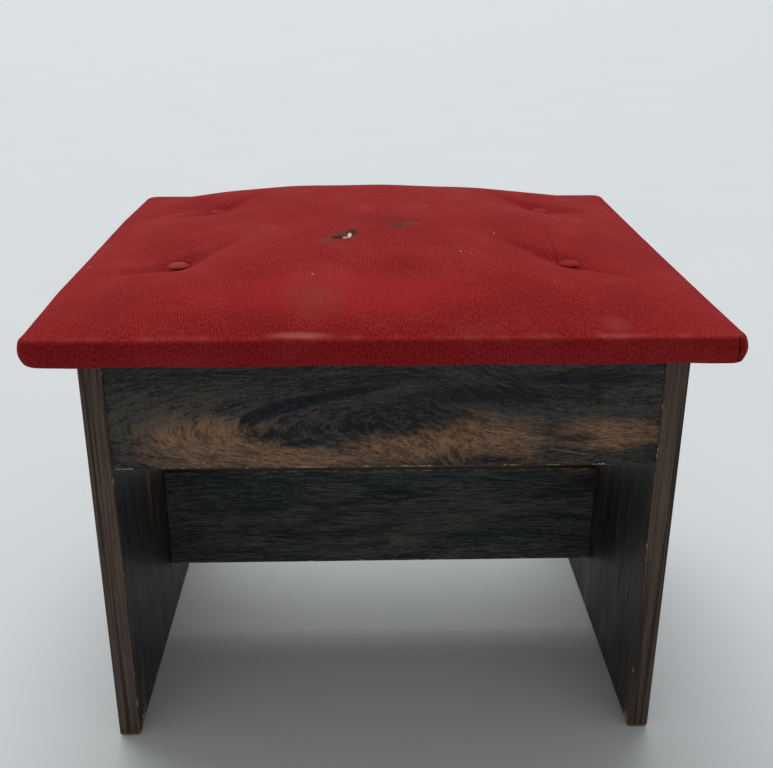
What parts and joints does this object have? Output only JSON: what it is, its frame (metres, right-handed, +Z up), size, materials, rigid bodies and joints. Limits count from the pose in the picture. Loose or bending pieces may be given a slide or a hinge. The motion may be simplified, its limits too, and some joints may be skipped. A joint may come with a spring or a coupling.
{
  "type": "vanity stool",
  "caption": "Low vanity stool with an overhanging buttoned velour seat on two laminated board side panels, joined by front and rear aprons and a low middle rail.",
  "frame": {"origin": "on the floor, under the middle of the seat", "axes": "+Z up, front towards -Y, +X along the seat's width to the right as seen from the front"},
  "size_m": [0.5078, 0.4554, 0.4174],
  "materials": {
    "rosewood_laminate": "satin",
    "edge_band": "satin",
    "beech_dowel": "matte",
    "softwood": "matte",
    "chipboard": "matte",
    "zinc_steel": "satin",
    "foam": "matte",
    "ribbed_velour": "matte",
    "twine": "matte"
  },
  "bodies": {
    "root": {"left_side_panel": "rosewood_laminate", "right_side_panel": "rosewood_laminate", "front_apron": "rosewood_laminate", "rear_apron": "rosewood_laminate", "lower_rail": "rosewood_laminate", "left_front_edge_band": "edge_band", "right_front_edge_band": "edge_band", "left_rear_edge_band": "edge_band", "right_rear_edge_band": "edge_band", "front_apron_edge_band": "edge_band", "rear_apron_edge_band": "edge_band", "rail_top_edge_band": "edge_band", "rail_bottom_edge_band": "edge_band", "front_apron_dowels": "beech_dowel", "rear_apron_dowels": "beech_dowel", "lower_rail_dowels": "beech_dowel", "corner_block_front_left": "softwood", "corner_block_front_right": "softwood", "corner_block_rear_left": "softwood", "corner_block_rear_right": "softwood", "wall_screws": "zinc_steel", "seat_screws": "zinc_steel", "seat_board": "chipboard", "seat_foam": "foam", "seat_cover": "ribbed_velour", "cover_staples": "zinc_steel", "button_front_left": "ribbed_velour", "button_front_right": "ribbed_velour", "button_rear_left": "ribbed_velour", "button_rear_right": "ribbed_velour", "button_ties": "twine", "tie_washers": "zinc_steel"}
  },
  "joints": []
}
